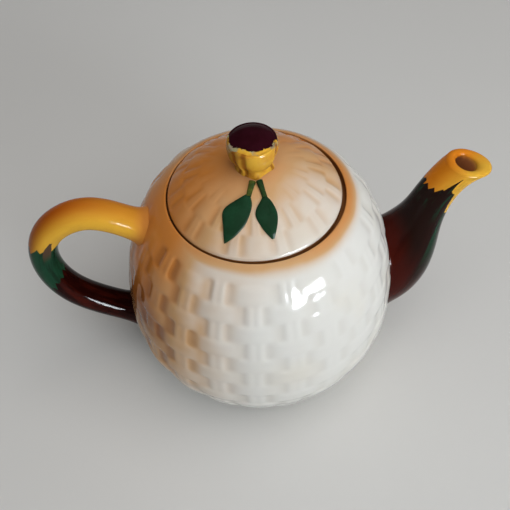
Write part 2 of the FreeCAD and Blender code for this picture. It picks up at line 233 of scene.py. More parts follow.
# Sizes that follow from those above
MOUTH_R = SEAT_R - LEDGE_W
LEDGE_Z = RIM_Z - SEAT_DEPTH
CEILING_Z = LEDGE_Z - LEDGE_T
FLOOR_Z = FOOT_H + FLOOR_T
SHOULDER_R = SEAT_R - SHOULDER_LEVEL_IN
SHOULDER_SPAN = BELLY_R - SHOULDER_R
SHOULDER_RISE = (RIM_Z - BELLY_Z) / math.sqrt(1 - (SHOULDER_LEVEL_IN / SHOULDER_SPAN) ** 2)
LID_TOP_Z = LEDGE_Z + LID_EDGE_H + LID_RISE
DOME_R = (LID_R ** 2 + LID_RISE ** 2) / (2 * LID_RISE)
DOME_Z = LID_TOP_Z - DOME_R
FLANGE_R = MOUTH_R - FLANGE_GAP


# Shapes

def unit(vectors):
    """Vectors scaled to length 1."""
    return vectors / np.linalg.norm(vectors, axis=-1, keepdims=True)


def ease(values, low, high, start=0.0, end=1.0):
    """Smooth step from start at low to end at high."""
    share = np.clip((values - low) / (high - low), 0, 1)
    return start + (end - start) * share * share * (3 - 2 * share)


def angles(count):
    """Evenly spaced directions round the axis, in radians from +X."""
    return np.arange(count) * (2 * math.pi / count)


def shorter(degrees):
    """Angles brought between -180 and 180 degrees."""
    return (degrees + 180) % 360 - 180


def from_front(count):
    """Evenly spaced directions round the axis, in degrees from the front."""
    return shorter(np.degrees(angles(count)) - FRONT)


def from_handle(count):
    """Evenly spaced directions round the axis, in degrees from the handle on either side."""
    return np.abs(shorter(from_front(count) - HANDLE_SIDE))


def bell(turn, middle, half):
    """Bell curve about a direction, with a half width, all in degrees."""
    return np.exp(-(shorter(turn - middle) / half) ** 2)


def way_along(points):
    """Length along a line to each of its points."""
    return np.concatenate([[0], np.cumsum(np.linalg.norm(np.diff(points, axis=0), axis=1))])


def oval(r, z, wide, tall, tilt):
    """Points (r, z) on an oval about a middle, at angles from level."""
    return np.stack([r + wide * np.cos(tilt), z + tall * np.sin(tilt)], -1)


def cap(z, radius, tilt):
    """Points (r, z) on a ball about a middle on the axis, at angles from upright."""
    return np.stack([radius * np.sin(tilt), z + radius * np.cos(tilt)], -1)


def pot_radius(z):
    """Outer radius of the pot's wall at heights."""
    low = np.clip((BELLY_Z - z) / (BELLY_Z - FOOT_H), 0, 1)
    high = np.clip((z - BELLY_Z) / SHOULDER_RISE, 0, 1)
    lower = FOOT_R + (BELLY_R - FOOT_R) * np.sqrt(1 - low ** 2)
    upper = SHOULDER_R + SHOULDER_SPAN * np.sqrt(1 - high ** 2)
    return np.where(z < BELLY_Z, lower, upper)


class Curve:
    """Smooth curve through points, with its directions at the ends where they are given."""

    def __init__(self, points, knots=None, first=None, last=None):
        self.points = np.array(points, float)
        self.knots = way_along(self.points) if knots is None else knots
        near = 1 / np.diff(self.knots)
        pull = 3 * np.diff(self.points, axis=0) * near[:, None] ** 2
        none = np.zeros((1, pull.shape[1]))
        wanted = np.vstack([pull, none]) + np.vstack([none, pull])
        system = np.diag(near, 1) + np.diag(near, -1) + 2 * np.diag(np.append(near, 0) + np.append(0, near))
        for end, slope in ((0, first), (-1, last)):
            if slope is not None:
                system[end] = 0
                system[end, end] = 1
                wanted[end] = slope
        self.slopes = np.linalg.solve(system, wanted)

    def at(self, where):
        """Points and directions at places along the curve."""
        i = np.clip(np.searchsorted(self.knots, where, side="right") - 1, 0, len(self.knots) - 2)
        gap = (self.knots[i + 1] - self.knots[i])[:, None]
        t = (where - self.knots[i])[:, None] / gap
        a, b, m, n = self.points[i], self.points[i + 1], self.slopes[i] * gap, self.slopes[i + 1] * gap
        place = a + (b - a) * t * t * (3 - 2 * t) + t * (1 - t) * ((1 - t) * m - t * n)
        slope = 6 * t * (1 - t) * (b - a) + (1 - t) * (1 - 3 * t) * m + t * (3 * t - 2) * n
        return place, slope / gap


def rounded_path(corners, step):
    """Points along straight runs between corners (r, z, rounding), no further apart than a step."""
    places = np.array([corner[:2] for corner in corners], float)
    points = [places[0]]
    for i in range(1, len(corners)):
        here = places[i]
        rounding = corners[i][2]
        start = here + rounding * unit(places[i - 1] - here) if rounding else here
        count = max(1, math.ceil(np.linalg.norm(start - points[-1]) / step))
        points += [points[-1] + (start - points[-1]) * k / count for k in range(1, count + 1)]
        if rounding:
            end = here + rounding * unit(places[i + 1] - here)
            for t in np.linspace(0, 1, CORNER_POINTS)[1:]:
                points.append((1 - t) ** 2 * start + 2 * t * (1 - t) * here + t ** 2 * end)
    return np.array(points)


def weave(turn, rows, seed):
    """Height of the basket relief, at degrees from a stake and at rows counted downwards."""
    draw = np.random.RandomState(seed)
    columns = turn / (360 / STAKES)
    count = int(rows.max()) + 2
    strays = draw.uniform(-STAKE_JITTER, STAKE_JITTER, (count, STAKES))
    depths = draw.uniform(1 - DEPTH_JITTER, 1 + DEPTH_JITTER, (count, STAKES))
    row = np.floor(rows)
    shown = row % 2
    stake = 2 * np.round((columns - shown) / 2) + shown
    cell = (np.clip(row, 0, count - 1).astype(int), stake.astype(int) % STAKES)
    away = np.abs(columns - stake - strays[cell])
    slot = SLOT * depths[cell]
    ribs = np.sqrt(np.clip(1 - ((away - RIB_OUT) / RIB_HALF) ** 2, 0, 1))
    upright = slot + (STAKE_TOP - slot) * ribs
    lift = ease(away, *STRAP_SPAN) ** STRAP_BULGE
    strap = slot + (STRAP_TOP - slot) * lift
    edge = ease(np.abs(2 * (rows - row) - 1), *SEAM_SPAN)
    strap = strap + (SLOT * STRAP_EDGE - strap) * edge * lift
    return np.maximum(upright, strap)


def softened(heights):
    """Heights on a grid of rings, smoothed as a thick glaze does."""
    for _ in range(GLAZE_SOFTNESS):
        heights = (np.roll(heights, 1, 1) + 2 * heights + np.roll(heights, -1, 1)) / 4
        padded = np.vstack([heights[:1], heights, heights[-1:]])
        heights = (padded[:-2] + 2 * padded[1:-1] + padded[2:]) / 4
    return heights


def turned_rings(path, lifts, shift=0.0):
    """Rings of points round the axis through a path of (r, z), lifted off its surface."""
    slope = unit(np.gradient(path, axis=0))
    turn = angles(lifts.shape[1])
    r = path[:, :1] + lifts * slope[:, 1:]
    z = path[:, 1:] - lifts * slope[:, :1]
    return np.stack([shift + r * np.cos(turn), r * np.sin(turn), z], -1)


# Meshes

def ring_piece(name, rings, poles=(None, None), loop=False, marks=None):
    """Object through closed rings of points, with named values, or marks, for each of them.

    Poles close the first and the last ring with a point, and loop joins the last ring to the first one."""
    count, around = rings.shape[:2]
    index = np.arange(count * around).reshape(count, around)
    low = index if loop else index[:-1]
    high = np.roll(index, -1, 0) if loop else index[1:]
    faces = np.stack([low, np.roll(low, -1, 1), np.roll(high, -1, 1), high], -1).reshape(-1, 4).tolist()
    points = rings.reshape(-1, 3)
    for pole, ring in ((poles[0], index[0, ::-1]), (poles[1], index[-1])):
        if pole is not None:
            faces += [(a, b, len(points)) for a, b in zip(ring.tolist(), np.roll(ring, -1).tolist())]
            points = np.vstack([points, pole])
    mesh = bpy.data.meshes.new(name)
    mesh.from_pydata((points * MM).tolist(), [], faces)
    for label, values in (marks or {}).items():
        spread = np.zeros(len(points), np.float32)
        spread[:values.size] = values.ravel()
        mesh.attributes.new(label, "FLOAT", "POINT").data.foreach_set("value", spread)
    mesh.shade_smooth()
    mesh.update()
    piece = bpy.data.objects.new(name, mesh)
    bpy.context.scene.collection.objects.link(piece)
    return piece


def solid(*shape, **options):
    """Closed piece through rings, with its faces turned outwards."""
    piece = ring_piece(*shape, **options)
    work = bmesh.new()
    work.from_mesh(piece.data)
    bmesh.ops.recalc_face_normals(work, faces=work.faces)
    work.to_mesh(piece.data)
    work.free()
    piece.data.set_sharp_from_angle(angle=math.radians(SHARP_EDGE))
    return piece


def on_lid_axis(*heights):
    """Points on the lid's axis."""
    return [np.array((LID_SHIFT, 0, z)) for z in heights]


def end_middles(rings):
    """Middles of the first and the last ring."""
    return [ring.mean(axis=0) for ring in (rings[0], rings[-1])]


def drilled(piece, radius, starts, way):
    """Cuts round holes into a piece, from starting points along one way."""
    direction = unit(way)
    side = unit(np.cross(direction, ASKEW))
    up = np.cross(direction, side)
    turn = angles(DRILL_AROUND)
    circle = radius * (np.cos(turn)[:, None] * side + np.sin(turn)[:, None] * up)
    for start in starts:
        ends = np.array([start, start + way])
        drill = solid("drill", ends[:, None, :] + circle, ends)
        cut = piece.modifiers.new("hole", "BOOLEAN")
        cut.operation = "DIFFERENCE"
        cut.solver = "EXACT"
        cut.object = drill
        bpy.context.view_layer.update()
        evaluated = piece.evaluated_get(bpy.context.evaluated_depsgraph_get())
        mesh = bpy.data.meshes.new_from_object(evaluated)
        piece.modifiers.clear()
        piece.data = mesh
        bpy.data.objects.remove(drill)


def placed(piece, node, body, material):
    """Puts a finished piece in the place of a node of the frame."""
    piece.data.materials.clear()
    piece.data.materials.append(material)
    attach(piece, body)
    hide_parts(node)


# Pieces

def wall_line(inset, top, bottom, above, below):
    """Outline of the pot's wall at an inset, from a height on the shoulder down to one under the belly."""
    rise = SHOULDER_RISE - inset
    tilt = np.linspace(math.asin((top - BELLY_Z) / rise), 0, above)
    upper = oval(SHOULDER_R, BELLY_Z, SHOULDER_SPAN - inset, rise, tilt)
    tilt = np.linspace(0, math.pi / 2, below)[1:]
    return np.vstack([upper, oval(FOOT_R, BELLY_Z, BELLY_R - inset - FOOT_R, bottom - BELLY_Z, tilt)])


def wall_path():
    """Evenly spaced points down the outside of the pot's wall, and the way to each of them."""
    fine = wall_line(0.0, RIM_Z, FOOT_H, *WALL_FINE)
    way = way_along(fine)
    places = np.arange(RIM_ROUND, way[-1] - FOOT_ROUND, WALL_STEP)
    return np.stack([np.interp(places, way, part) for part in fine.T], -1), places


def pot_relief(places, around):
    """Relief of the pot's wall, which starts below the smooth collar and ends above the foot."""
    turn = from_front(around)
    heights = weave(turn - STAKE_TURN, ((places - WEAVE_START) / ROW_H)[:, None], POT_SEED)
    shown = ease(places, *WEAVE_COMES) * ease(places, *WEAVE_GOES)
    level = ease(from_handle(around), *HANDLE_RELIEF)
    for middle, half, share in UNEVEN_SIDES:
        level = level * (1 + (share - 1) * bell(turn, middle, half))
    return softened(heights * shown[:, None] * level)


def pot_stain(places, around):
    """Strength of the sprayed tan on the pot's wall: a ring at the rim and a broad patch round the handle."""
    off = from_handle(around)
    down = places[:, None]
    strength = ease(off, *RING_STAIN) + ease(off, *RING_STAIN_NEAR)
    ring = strength * np.exp(-(down / RING_STAIN_REACH) ** 3)
    patch = ease(off, *PATCH_STAIN)
    patch = patch + (1 - patch) * ease(off, THIN_STAIN_FROM, ease(down, *THIN_STAIN_TO), THIN_STAIN, 0.0)
    return np.maximum(ring, patch * ease(down, *PATCH_STAIN_LOW) * ease(down, *PATCH_STAIN_END))


def seat_brown_and_shade(around):
    """Strength of the brown in the lid's seat, partly painted shade of the gap, which is thin at the back."""
    return ease(np.abs(from_front(around)), *SEAT_BROWN_AND_SHADE_SIDES)


def pot_piece(material):
    """The pot: wall with weave, rim, seat, ledge, inside and foot."""
    path, places = wall_path()
    around = STAKES * WALL_STEPS
    inside = wall_line(WALL, CEILING_Z, FLOOR_Z, *INSIDE_RINGS)
    rim = rounded_path([(*path[0], 0), (SEAT_R, RIM_Z, RIM_ROUND), (SEAT_R, LEDGE_Z, EDGE_ROUND),
                        (MOUTH_R, LEDGE_Z, EDGE_ROUND), (MOUTH_R, CEILING_Z, EDGE_ROUND),
                        (*inside[0], 0)], RIM_STEP)[1:-1]
    floor = rounded_path([(*inside[-1], 0), (AXIS_R, FLOOR_Z, 0)], FLOOR_STEP)[1:]
    ring_r = FOOT_R - FOOT_W
    foot = rounded_path([(AXIS_R, FOOT_H, 0), (ring_r, FOOT_H, FOOT_ROUND), (ring_r, 0, FOOT_ROUND),
                         (FOOT_R, 0, FOOT_ROUND), (FOOT_R, FOOT_H, FOOT_ROUND),
                         (*path[-1], 0)], FOOT_STEP)[:-1]
    whole = np.vstack([foot, path[::-1], rim, inside, floor])
    wall = slice(len(foot), len(foot) + len(path))
    lifts, stain, seat = np.zeros((3, len(whole), around))
    lifts[wall] = pot_relief(places, around)[::-1]
    stain[wall] = pot_stain(places, around)[::-1]
    stain[wall.stop:wall.stop + len(rim)] = stain[wall.stop - 1]
    r, z = whole.T
    # Brown in the lid's seat, partly painted shade of the gap
    seat[(r < SEAT_R + NEARLY) & (z > CEILING_Z + NEARLY) & (z < RIM_Z - SEAT_BELOW)] = seat_brown_and_shade(around)
    poles = (np.array((0, 0, FOOT_H)), np.array((0, 0, FLOOR_Z)))
    marks = {"relief": lifts, "stain": stain, "seat": seat}
    piece = solid("pot_body_glazed", turned_rings(whole, lifts), poles, marks=marks)
    middle = np.array((SHOULDER_R, 0, SPOUT_ROOT_Z))
    ring = [(0, STRAINER_PITCH * math.sin(a), STRAINER_PITCH * math.cos(a)) for a in angles(STRAINER_RING)]
    drilled(piece, STRAINER_D / 2, [middle, *(middle + ring)], np.array((BELLY_R, 0, 0)))
    placed(piece, "pot_body", "pot", material)


def lid_stain(rings):
    """Strength of the sprayed tan on the lid: clear in front, full behind, and strong round the knob."""
    pale = math.radians(LID_PALE_SIDE)
    back = rings[..., 1] * math.cos(pale) - rings[..., 0] * math.sin(pale)
    out = np.hypot(rings[..., 0] - LID_SHIFT, rings[..., 1])
    return np.maximum(np.interp(back, LID_STAIN, (0, 1)), ease(out, *KNOB_STAIN))


def lid_piece(material):
    """The lid: dome with weave, edge, flange and underside, with its steam hole."""
    around = STAKES * LID_STEPS
    reach = DOME_R * math.asin(LID_R / DOME_R) - LID_ROUND
    ways = np.arange(reach, DOME_END, -LID_STEP)
    dome = cap(DOME_Z, DOME_R, ways / DOME_R)
    inner = DOME_R - LID_T
    flange_in = FLANGE_R - FLANGE_T
    hollow = cap(DOME_Z, inner, np.linspace(AXIS_TILT, math.asin(flange_in / inner), HOLLOW_RINGS))
    low = LEDGE_Z - FLANGE_DEPTH
    under = rounded_path([(*hollow[-1], 0), (flange_in, low, FLANGE_ROUND), (FLANGE_R, low, FLANGE_ROUND),
                          (FLANGE_R, LEDGE_Z, FLANGE_ROOT_ROUND), (LID_R, LEDGE_Z, LID_UNDER_ROUND),
                          (LID_R, LEDGE_Z + LID_EDGE_H, LID_ROUND), (*dome[0], 0)], UNDER_STEP)[1:-1]
    whole = np.vstack([hollow, under, dome])
    rows = (reach + LID_ROUND - LID_WEAVE_START - ways) / LID_ROW_H
    heights = LID_RELIEF * weave(from_front(around) - LID_STAKE_TURN, rows[:, None], LID_SEED)
    shown = ease(ways, *LID_WEAVE_COMES) * ease(ways - reach, *LID_WEAVE_GOES)
    lifts, seat = np.zeros((2, len(whole), around))
    lifts[-len(dome):] = softened(heights * shown[:, None])
    rings = turned_rings(whole, lifts, LID_SHIFT)
    r, z = whole.T
    stain = lid_stain(rings)
    stain[:len(hollow)] = 0
    stain[z < LEDGE_Z + NEARLY] = 0
    # Brown on the lid's side, partly painted shade of the gap
    seat[(r > LID_R - SEAT_ON_LID) & (z < RIM_Z - SEAT_BELOW)] = seat_brown_and_shade(around)
    marks = {"relief": lifts, "stain": stain, "seat": seat}
    piece = solid("lid_glazed", rings, on_lid_axis(DOME_Z + inner, LID_TOP_Z), marks=marks)
    vent = np.array((LID_SHIFT, VENT_OUT, LEDGE_Z))
    drilled(piece, VENT_D / 2, [vent], np.array((0, 0, LID_TOP_Z - LEDGE_Z + LID_T)))
    placed(piece, "lid_shell", "lid", material)


def tube_grid(curve, girth):
    """Points of a tube along a curve on a fine grid, with a curve of its sizes (tall, wide)."""
    where = np.linspace(curve.knots[0], curve.knots[-1], TUBE_FINE)
    middle, slope = curve.at(where)
    side = np.array((0.0, 1.0, 0.0))
    up = np.cross(unit(slope), side)
    half = girth.at(where)[0] / 2
    turn = angles(TUBE_AROUND)
    ring = half[:, :1, None] * np.cos(turn)[None, :, None] * up[:, None, :]
    ring = ring + half[:, 1:, None] * np.sin(turn)[None, :, None] * side
    return middle[:, None, :] + ring


def above_pot(points):
    """Distance of points from the pot's wall, measured level."""
    return np.hypot(points[..., 0], points[..., 1]) - pot_radius(points[..., 2])


def trimmed(grid, starts, ends):
    """Rings of a fine grid between a first and a last place for each line along it."""
    where = np.linspace(starts, ends, TUBE_ALONG)
    low = np.minimum(where.astype(int), TUBE_FINE - 2)
    lines = np.arange(TUBE_AROUND)
    share = (where - low)[..., None]
    return (1 - share) * grid[low, lines] + share * grid[low + 1, lines]


def crossing(values):
    """Place along each line of a fine grid where values first turn positive."""
    after = np.argmax(values > 0, axis=0)
    before = np.maximum(after - 1, 0)
    lines = np.arange(TUBE_AROUND)
    low, high = values[before, lines], values[after, lines]
    return before + np.clip(-low / np.where(after > before, high - low, 1), 0, 1)


def flared(rings, amount, reach):
    """Rings drawn out into a soft fillet where they meet the pot."""
    near = np.exp(-np.maximum(above_pot(rings), 0) / reach)[..., None]
    return rings + unit(rings - rings.mean(axis=1, keepdims=True)) * amount * near


def along_marks(rings):
    """Way along a tube in millimetres, and cosine and sine of the turn round it, for each point."""
    turn = angles(rings.shape[1])
    way = way_along(rings.mean(axis=1))
    values = {"along": way[:, None], "round_cos": np.cos(turn), "round_sin": np.sin(turn)}
    return {label: np.broadcast_to(value, rings.shape[:2]) for label, value in values.items()}


def handle_piece(material):
    """The handle: an oval bar that flares where it meets the pot."""
    top, low = ((pot_radius(z) - BELLY_R, z) for z in (HANDLE_TOP_Z, HANDLE_LOW_Z))
    points = np.array([(-BELLY_R - out, 0, z) for out, z in (top, *HANDLE_LINE, low)])
    inside_top = points[0] + unit(points[0] - points[1]) * HANDLE_T
    inside_low = points[-1] + unit(points[-1] - points[-2]) * HANDLE_T
    curve = Curve([inside_top, *points, inside_low])
    share = np.linspace(0, 1, HANDLE_SIZES)
    swell = np.clip(1 - np.minimum(share, 1 - share) / HANDLE_FLARE_LENGTH, 0, 1)
    sizes = (1 + HANDLE_FLARE * swell ** 2)[:, None] * np.array((HANDLE_T, HANDLE_W))
    grid = tube_grid(curve, Curve(sizes, knots=share * curve.knots[-1]))
    outside = above_pot(grid) + WALL / 2
    ends = TUBE_FINE - 1 - crossing(outside[::-1])
    rings = flared(trimmed(grid, crossing(outside), ends), *HANDLE_FILLET)
    piece = solid("handle_glazed", rings, end_middles(rings), marks=along_marks(rings))
    placed(piece, "handle", "pot", material)


def spout_piece(material):
    """The spout: a hollow tube with a rounded lip, open at its root."""
    tilt = math.radians(SPOUT_LIP_TILT)
    rise = math.radians(SPOUT_LIP_RISE)
    normal = np.array((math.sin(tilt), 0, math.cos(tilt)))
    end = np.array((math.cos(rise), 0, math.sin(rise)))
    stations = np.array(SPOUT_STATIONS)
    middles = np.insert(stations[:, :2], 1, 0, axis=1) + (BELLY_R, 0, 0)
    lip = middles[-1]
    curve = Curve([*middles, lip + end * SPOUT_END], first=(1, 0, 0), last=end)
    sizes = np.vstack([stations[:, 2:], stations[-1, 2:]])
    wall = np.array([SPOUT_WALL] * (len(sizes) - 2) + [SPOUT_LIP_WALL] * 2)
    walls = []
    for taken_in in (0.0 * wall, wall):
        grid = tube_grid(curve, Curve(sizes - 2 * taken_in[:, None], knots=curve.knots))
        start = crossing(above_pot(grid) + WALL / 2)
        walls.append(trimmed(grid, start, crossing((grid - lip) @ normal + LIP_ROUND)))
    outer = flared(walls[0], *SPOUT_FILLET)
    inner = walls[1]
    middle = (outer[-1] + inner[-1]) / 2
    reach = (outer[-1] - inner[-1]) / 2
    bends = np.linspace(0, math.pi, LIP_RINGS)[1:-1]
    lip_rings = [middle + reach * math.cos(a) + normal * LIP_ROUND * math.sin(a) for a in bends]
    rings = np.concatenate([outer, np.array(lip_rings), inner[::-1]])
    # Painted shade inside the mouth, growing below the lip
    inside = np.zeros(rings.shape[:2])
    deep = (lip - inner[::-1].mean(axis=1)) @ normal
    inside[-len(inner):] = ease(deep, *SPOUT_DEEP)[:, None]
    piece = solid("spout_glazed", rings, loop=True, marks=along_marks(rings) | {"inside": inside})
    placed(piece, "spout", "pot", material)


def calyx_piece(material):
    """The calyx: a cup of sepals that folds over the bud's edge."""
    side = Curve(CALYX_SIDE)
    path = side.at(np.linspace(0, side.knots[-1], CALYX_RINGS))[0]
    mouth = BUD_R - BUD_LAP
    lip = rounded_path([(*path[-1], 0), (CALYX_R - CALYX_LIP_IN, CALYX_H, CALYX_LIP_ROUND),
                        (mouth, CALYX_H, CALYX_LIP_ROUND),
                        (mouth, CALYX_H - BUD_DEPTH, 0)], CALYX_LIP_STEP)[1:]
    path = np.vstack([path, lip])
    turn = from_front(CALYX_AROUND)
    height = path[:, 1:]
    fold = np.max([bell(turn, groove, CALYX_GROOVE_HALF) for groove in CALYX_GROOVES], axis=0)
    drips = np.sum([bell(turn, drip, CALYX_DRIP_HALF) for drip in CALYX_DRIPS], axis=0)
    depth = ease(height, *CALYX_GROOVE) * ease(height - CALYX_H, *CALYX_GROOVE_END)
    lifts = ease(height, *CALYX_DRIP) * drips - depth * fold
    path = path + np.array((0, LID_TOP_Z))
    rings = turned_rings(path, lifts, LID_SHIFT)
    marks = {"fold": np.broadcast_to(fold, lifts.shape)}
    piece = solid("knob_calyx_glazed", rings, on_lid_axis(path[0, 1], path[-1, 1]), marks=marks)
    placed(piece, "knob_calyx", "lid", material)


def bud_piece(material):
    """The bud: a domed top that sits in the calyx."""
    lip_z = LID_TOP_Z + CALYX_H
    low_z = lip_z - BUD_DEPTH
    top_z = lip_z + BUD_RISE
    crown = (BUD_R ** 2 + BUD_RISE ** 2) / (2 * BUD_RISE)
    dome = cap(top_z - crown, crown, np.linspace(math.asin(BUD_R / crown), AXIS_TILT, BUD_RINGS))
    low = rounded_path([(AXIS_R, low_z, 0), (BUD_R, low_z, BUD_ROUND), (*dome[0], 0)], UNDER_STEP)[:-1]
    path = np.vstack([low, dome])
    rings = turned_rings(path, np.zeros((len(path), BUD_AROUND)), LID_SHIFT)
    piece = solid("knob_bud_glazed", rings, on_lid_axis(low_z, top_z))
    placed(piece, "knob_bud", "lid", material)


def on_dome(flat, height):
    """Points at a height above the lid's dome, over level points measured from the knob's middle."""
    out = np.linalg.norm(flat, axis=-1, keepdims=True)
    radius = DOME_R + height[..., None]
    level = flat * radius / DOME_R
    z = DOME_Z + np.sqrt(np.maximum(radius ** 2 - (out * radius / DOME_R) ** 2, 0))
    return np.concatenate([level[..., :1] + LID_SHIFT, level[..., 1:], z], -1)


def level_way(turn, length):
    """Level line of a length, turned from the front."""
    a = math.radians(turn)
    return length * np.array((math.sin(a), -math.cos(a)))


def strip_piece(node, start, way, left, right, height, sunk, material):
    """Raised strip along a level line on the dome, with a rounded back and a flat underside."""
    along = unit(way)
    across = np.array((-along[1], along[0]))
    turn = angles(STRIP_AROUND)
    side = np.cos(turn)
    rise = np.sin(turn)
    reach = np.where(side > 0, right[:, None], left[:, None]) * side
    middle = start + np.linspace(0, 1, len(left))[:, None] * way
    flat = middle[:, None, :] + reach[..., None] * across
    back = height[:, None] * np.abs(rise) ** BACK_ROUND
    rings = on_dome(flat, np.where(rise > 0, back, -sunk * np.abs(rise) ** UNDER_ROUND))
    placed(solid(node + "_glazed", rings, end_middles(rings)), node, "lid", material)


def leaf_piece(node, leaf, material):
    """A leaf that lies on the dome, with its own outline on either side of its middle line."""
    t = np.linspace(0, 1, LEAF_RINGS)
    knots = np.array(leaf["shares"])
    left, right = (Curve(np.array(leaf[side])[:, None], knots).at(t)[0][:, 0] for side in ("left", "right"))
    height = LEAF_T * np.minimum(1, (left + right) / LEAF_FULL_W)
    start = level_way(leaf["base_turn"], leaf["base_out"])
    way = level_way(leaf["turn"], leaf["length"])
    strip_piece(node, start, way, left, right, height, LEAF_SUNK, material)


def stem_piece(node, leaf, material):
    """The stem between the knob's foot and a leaf."""
    start = level_way(leaf["stem_turn"], STEM_START)
    end = level_way(leaf["base_turn"], leaf["base_out"] + STEM_LAP)
    t = np.linspace(0, 1, STEM_RINGS)
    half = (STEM_W[1] + (STEM_W[0] - STEM_W[1]) * (1 - t) ** 2) / 2
    height = STEM_T[0] + (STEM_T[1] - STEM_T[0]) * t
    strip_piece(node, start, end - start, half, half, height, STEM_SUNK, material)


# Materials

IVORY = (0.735, 0.722, 0.685)
IVORY_WARM = (0.72, 0.665, 0.56)
TAN = (0.615, 0.365, 0.175)
STAIN = (0.61, 0.222, 0.045)
# Stain darkened by painted shade, used low on the belly and at the bottom of the slots
STAIN_SHADED = (0.22, 0.066, 0.017)
# Brown of the lid's seat, partly painted shade of the gap
SEAT_BROWN_AND_SHADE = (0.26, 0.10, 0.032)
# Grey for the painted shade in the slots of the weave
SLOT_SHADE_GREY = (0.50, 0.45, 0.38)
SPECK = (0.06, 0.035, 0.02)
YELLOW = (0.75, 0.415, 0.042)
ORANGE = (0.46, 0.092, 0.005)
TIP_ORANGE = (0.70, 0.215, 0.012)
BROWN = (0.24, 0.062, 0.005)
# Olive brown for the painted shade on the calyx
OLIVE_SHADE = (0.26, 0.12, 0.016)
GREEN = (0.010, 0.058, 0.029)
GREEN_DARK = (0.006, 0.024, 0.012)
GREEN_DEEP = (0.007, 0.036, 0.018)
# Painted shade inside the spout's mouth
SPOUT_INSIDE_SHADE = (0.25, 0.085, 0.030)
MAROON = (0.046, 0.005, 0.0025)
MAROON_DARK = (0.013, 0.0014, 0.001)
UMBER = (0.013, 0.0045, 0.003)
PLUM = (0.023, 0.0018, 0.0045)
PLUM_LIGHT = (0.030, 0.0026, 0.007)
TAUPE = (0.088, 0.052, 0.030)
LILAC = (0.30, 0.25, 0.19)
SAGE = (0.33, 0.36, 0.20)
LEAF_GREEN = (0.009, 0.036, 0.015)
LEAF_LIGHT = (0.012, 0.052, 0.023)
STEM_OLIVE = (0.12, 0.135, 0.020)
STEM_DARK = (0.030, 0.058, 0.016)
FLOOR_GREYS = ((0.66, 0.65, 0.63), (0.69, 0.68, 0.66))

GLAZE_IOR = 1.5
PALE_SHINE = 0.14  # specular levels of the pale, the dark and the duller glazes
DARK_SHINE = 0.07
DULL_SHINE = 0.06
GLOSS = (0.06, 0.13)  # least and greatest roughness
LEAF_GLOSS = (0.22, 0.34)
RIPPLE_NOISE = (160.0, 2.0)
RIPPLE = 0.02
RIPPLE_DEPTH = 4.0

# Clouds: scale of the noise, and change over its values
GLOSS_CLOUDS = (90.0, 0.3, 0.7)
IVORY_CLOUDS = (26.0, 0.45, 0.75, 0.0, 0.45)
STAIN_CLOUDS = (34.0, 0.3, 0.7, -0.10, 0.08)
KNOB_CLOUDS = (160.0, 0.45, 0.8, 0.0, 0.6)
PLUM_CLOUDS = (200.0, 0.35, 0.7)
FRINGE_CLOUDS = (130.0, 0.47, 0.56)
FRINGE_HUES = (210.0, 0.42, 0.58)
LEAF_CLOUDS = (150.0, 0.35, 0.7)
STEM_CLOUDS = (300.0, 0.35, 0.7)
FLOOR_CLOUDS = 6.0  # scale alone
SPECK_SCALE = 120.0
SPECK_SIZE = (0.03, 0.055)  # full and faded out, in cells of the pattern
SPECK_SHARE = 0.015  # of the cells

# Changes over the relief of the weave, the strength of the stain or the height
POT_SLOT_SHADE = (-0.6, 0.05, 0.28, 0.0)  # painted shade: grey in the slots
LID_SLOT_SHADE = (-0.35, 0.05, 0.28, 0.0)
STAIN_POOL = (-0.5, 0.2, 0.07, -0.07)  # how much more stain lies in the slots, and less on the ribs
STAIN_SLOT_SHADE = (-0.6, 0.0, 0.36, 0.0)  # painted shade at the bottom of a slot: how much of the darkest stain shows there
STAIN_SLOT_SHADE_SPAN = (0.25, 0.7)
STAIN_UNEVEN_SPAN = (0.0, 0.35)
STAIN_SHADED_SPAN = (60.0, 106.0)  # from the stain darkened by painted shade, low on the belly, to the usual one

# Painted handle and spout: millimetres along the tube, and shares of a turn round it. The share is 0 on the
# side that faces the pot, 0.25 at the back, 0.5 on the far side and 0.75 in front.
# Brush marks: scales round and along the tube
HANDLE_BRUSH = (1.5, 0.03)
SPOUT_BRUSH = (2.0, 0.03)
BRUSH_NOISE = (1.0, 4.0, 0.6)
BRUSH_EDGE = 0.35  # half width of the soft edge of a stroke
# Changes over the noise of the brush marks
ORANGE_MARKS = (0.45, 0.8, 0.0, 0.4)
HANDLE_GREEN_MARKS = (0.4, 0.65)
HANDLE_MAROON_MARKS = (0.45, 0.7)
SPOUT_DARK_MARKS = (0.5, 0.75, 0.0, 0.6)
SPOUT_GREEN_MARKS = (0.46, 0.56)
# Torn edges: least level and range of low and high strokes, uneven spacing, and seed, strokes round, depth
TORN_LEVELS = ((0.15, 0.3), (0.55, 0.45))
TORN_STRAY = 0.35
HANDLE_GREEN_EDGE = (5, 18, 8.0)
HANDLE_MAROON_EDGE = (11, 28, 6.0)
SPOUT_YELLOW_EDGE = (3, 30, 5.0)
# Sides: middle, where it is full and where it is gone round the tube
# Outer side of the handle, orange and brown: partly thicker glaze, partly painted shade
HANDLE_SHADE = (0.40, 0.10, 0.34)
SPOUT_BARE_SIDE = (0.5, 0.16, 0.26)
SPOUT_UMBER_SIDE = (0.655, 0.05, 0.085)
SPOUT_YELLOW_FAR = (0.5, 0.13, 0.24)
SPOUT_YELLOW_BACK = (0.02, 0.05, 0.22)
SPOUT_ORANGE_SIDE = (0.13, 0.14, 0.42)
# Changes along the tube
HANDLE_ORANGE = (8.0, 44.0, 0.55, 1.0)
HANDLE_BROWN = (30.0, 60.0, 0.0, 0.8)
HANDLE_STAIN = (2.0, 10.0, 0.85, 0.0)
SPOUT_UMBER = (17.0, 40.0)
SPOUT_UMBER_STROKE = (8.0, 26.0, 0.0, 0.9)
SPOUT_GREEN_BAND = (50.0, 64.0, 0.0, 0.9)
SPOUT_STRIPE_START = (22.0, 44.0)
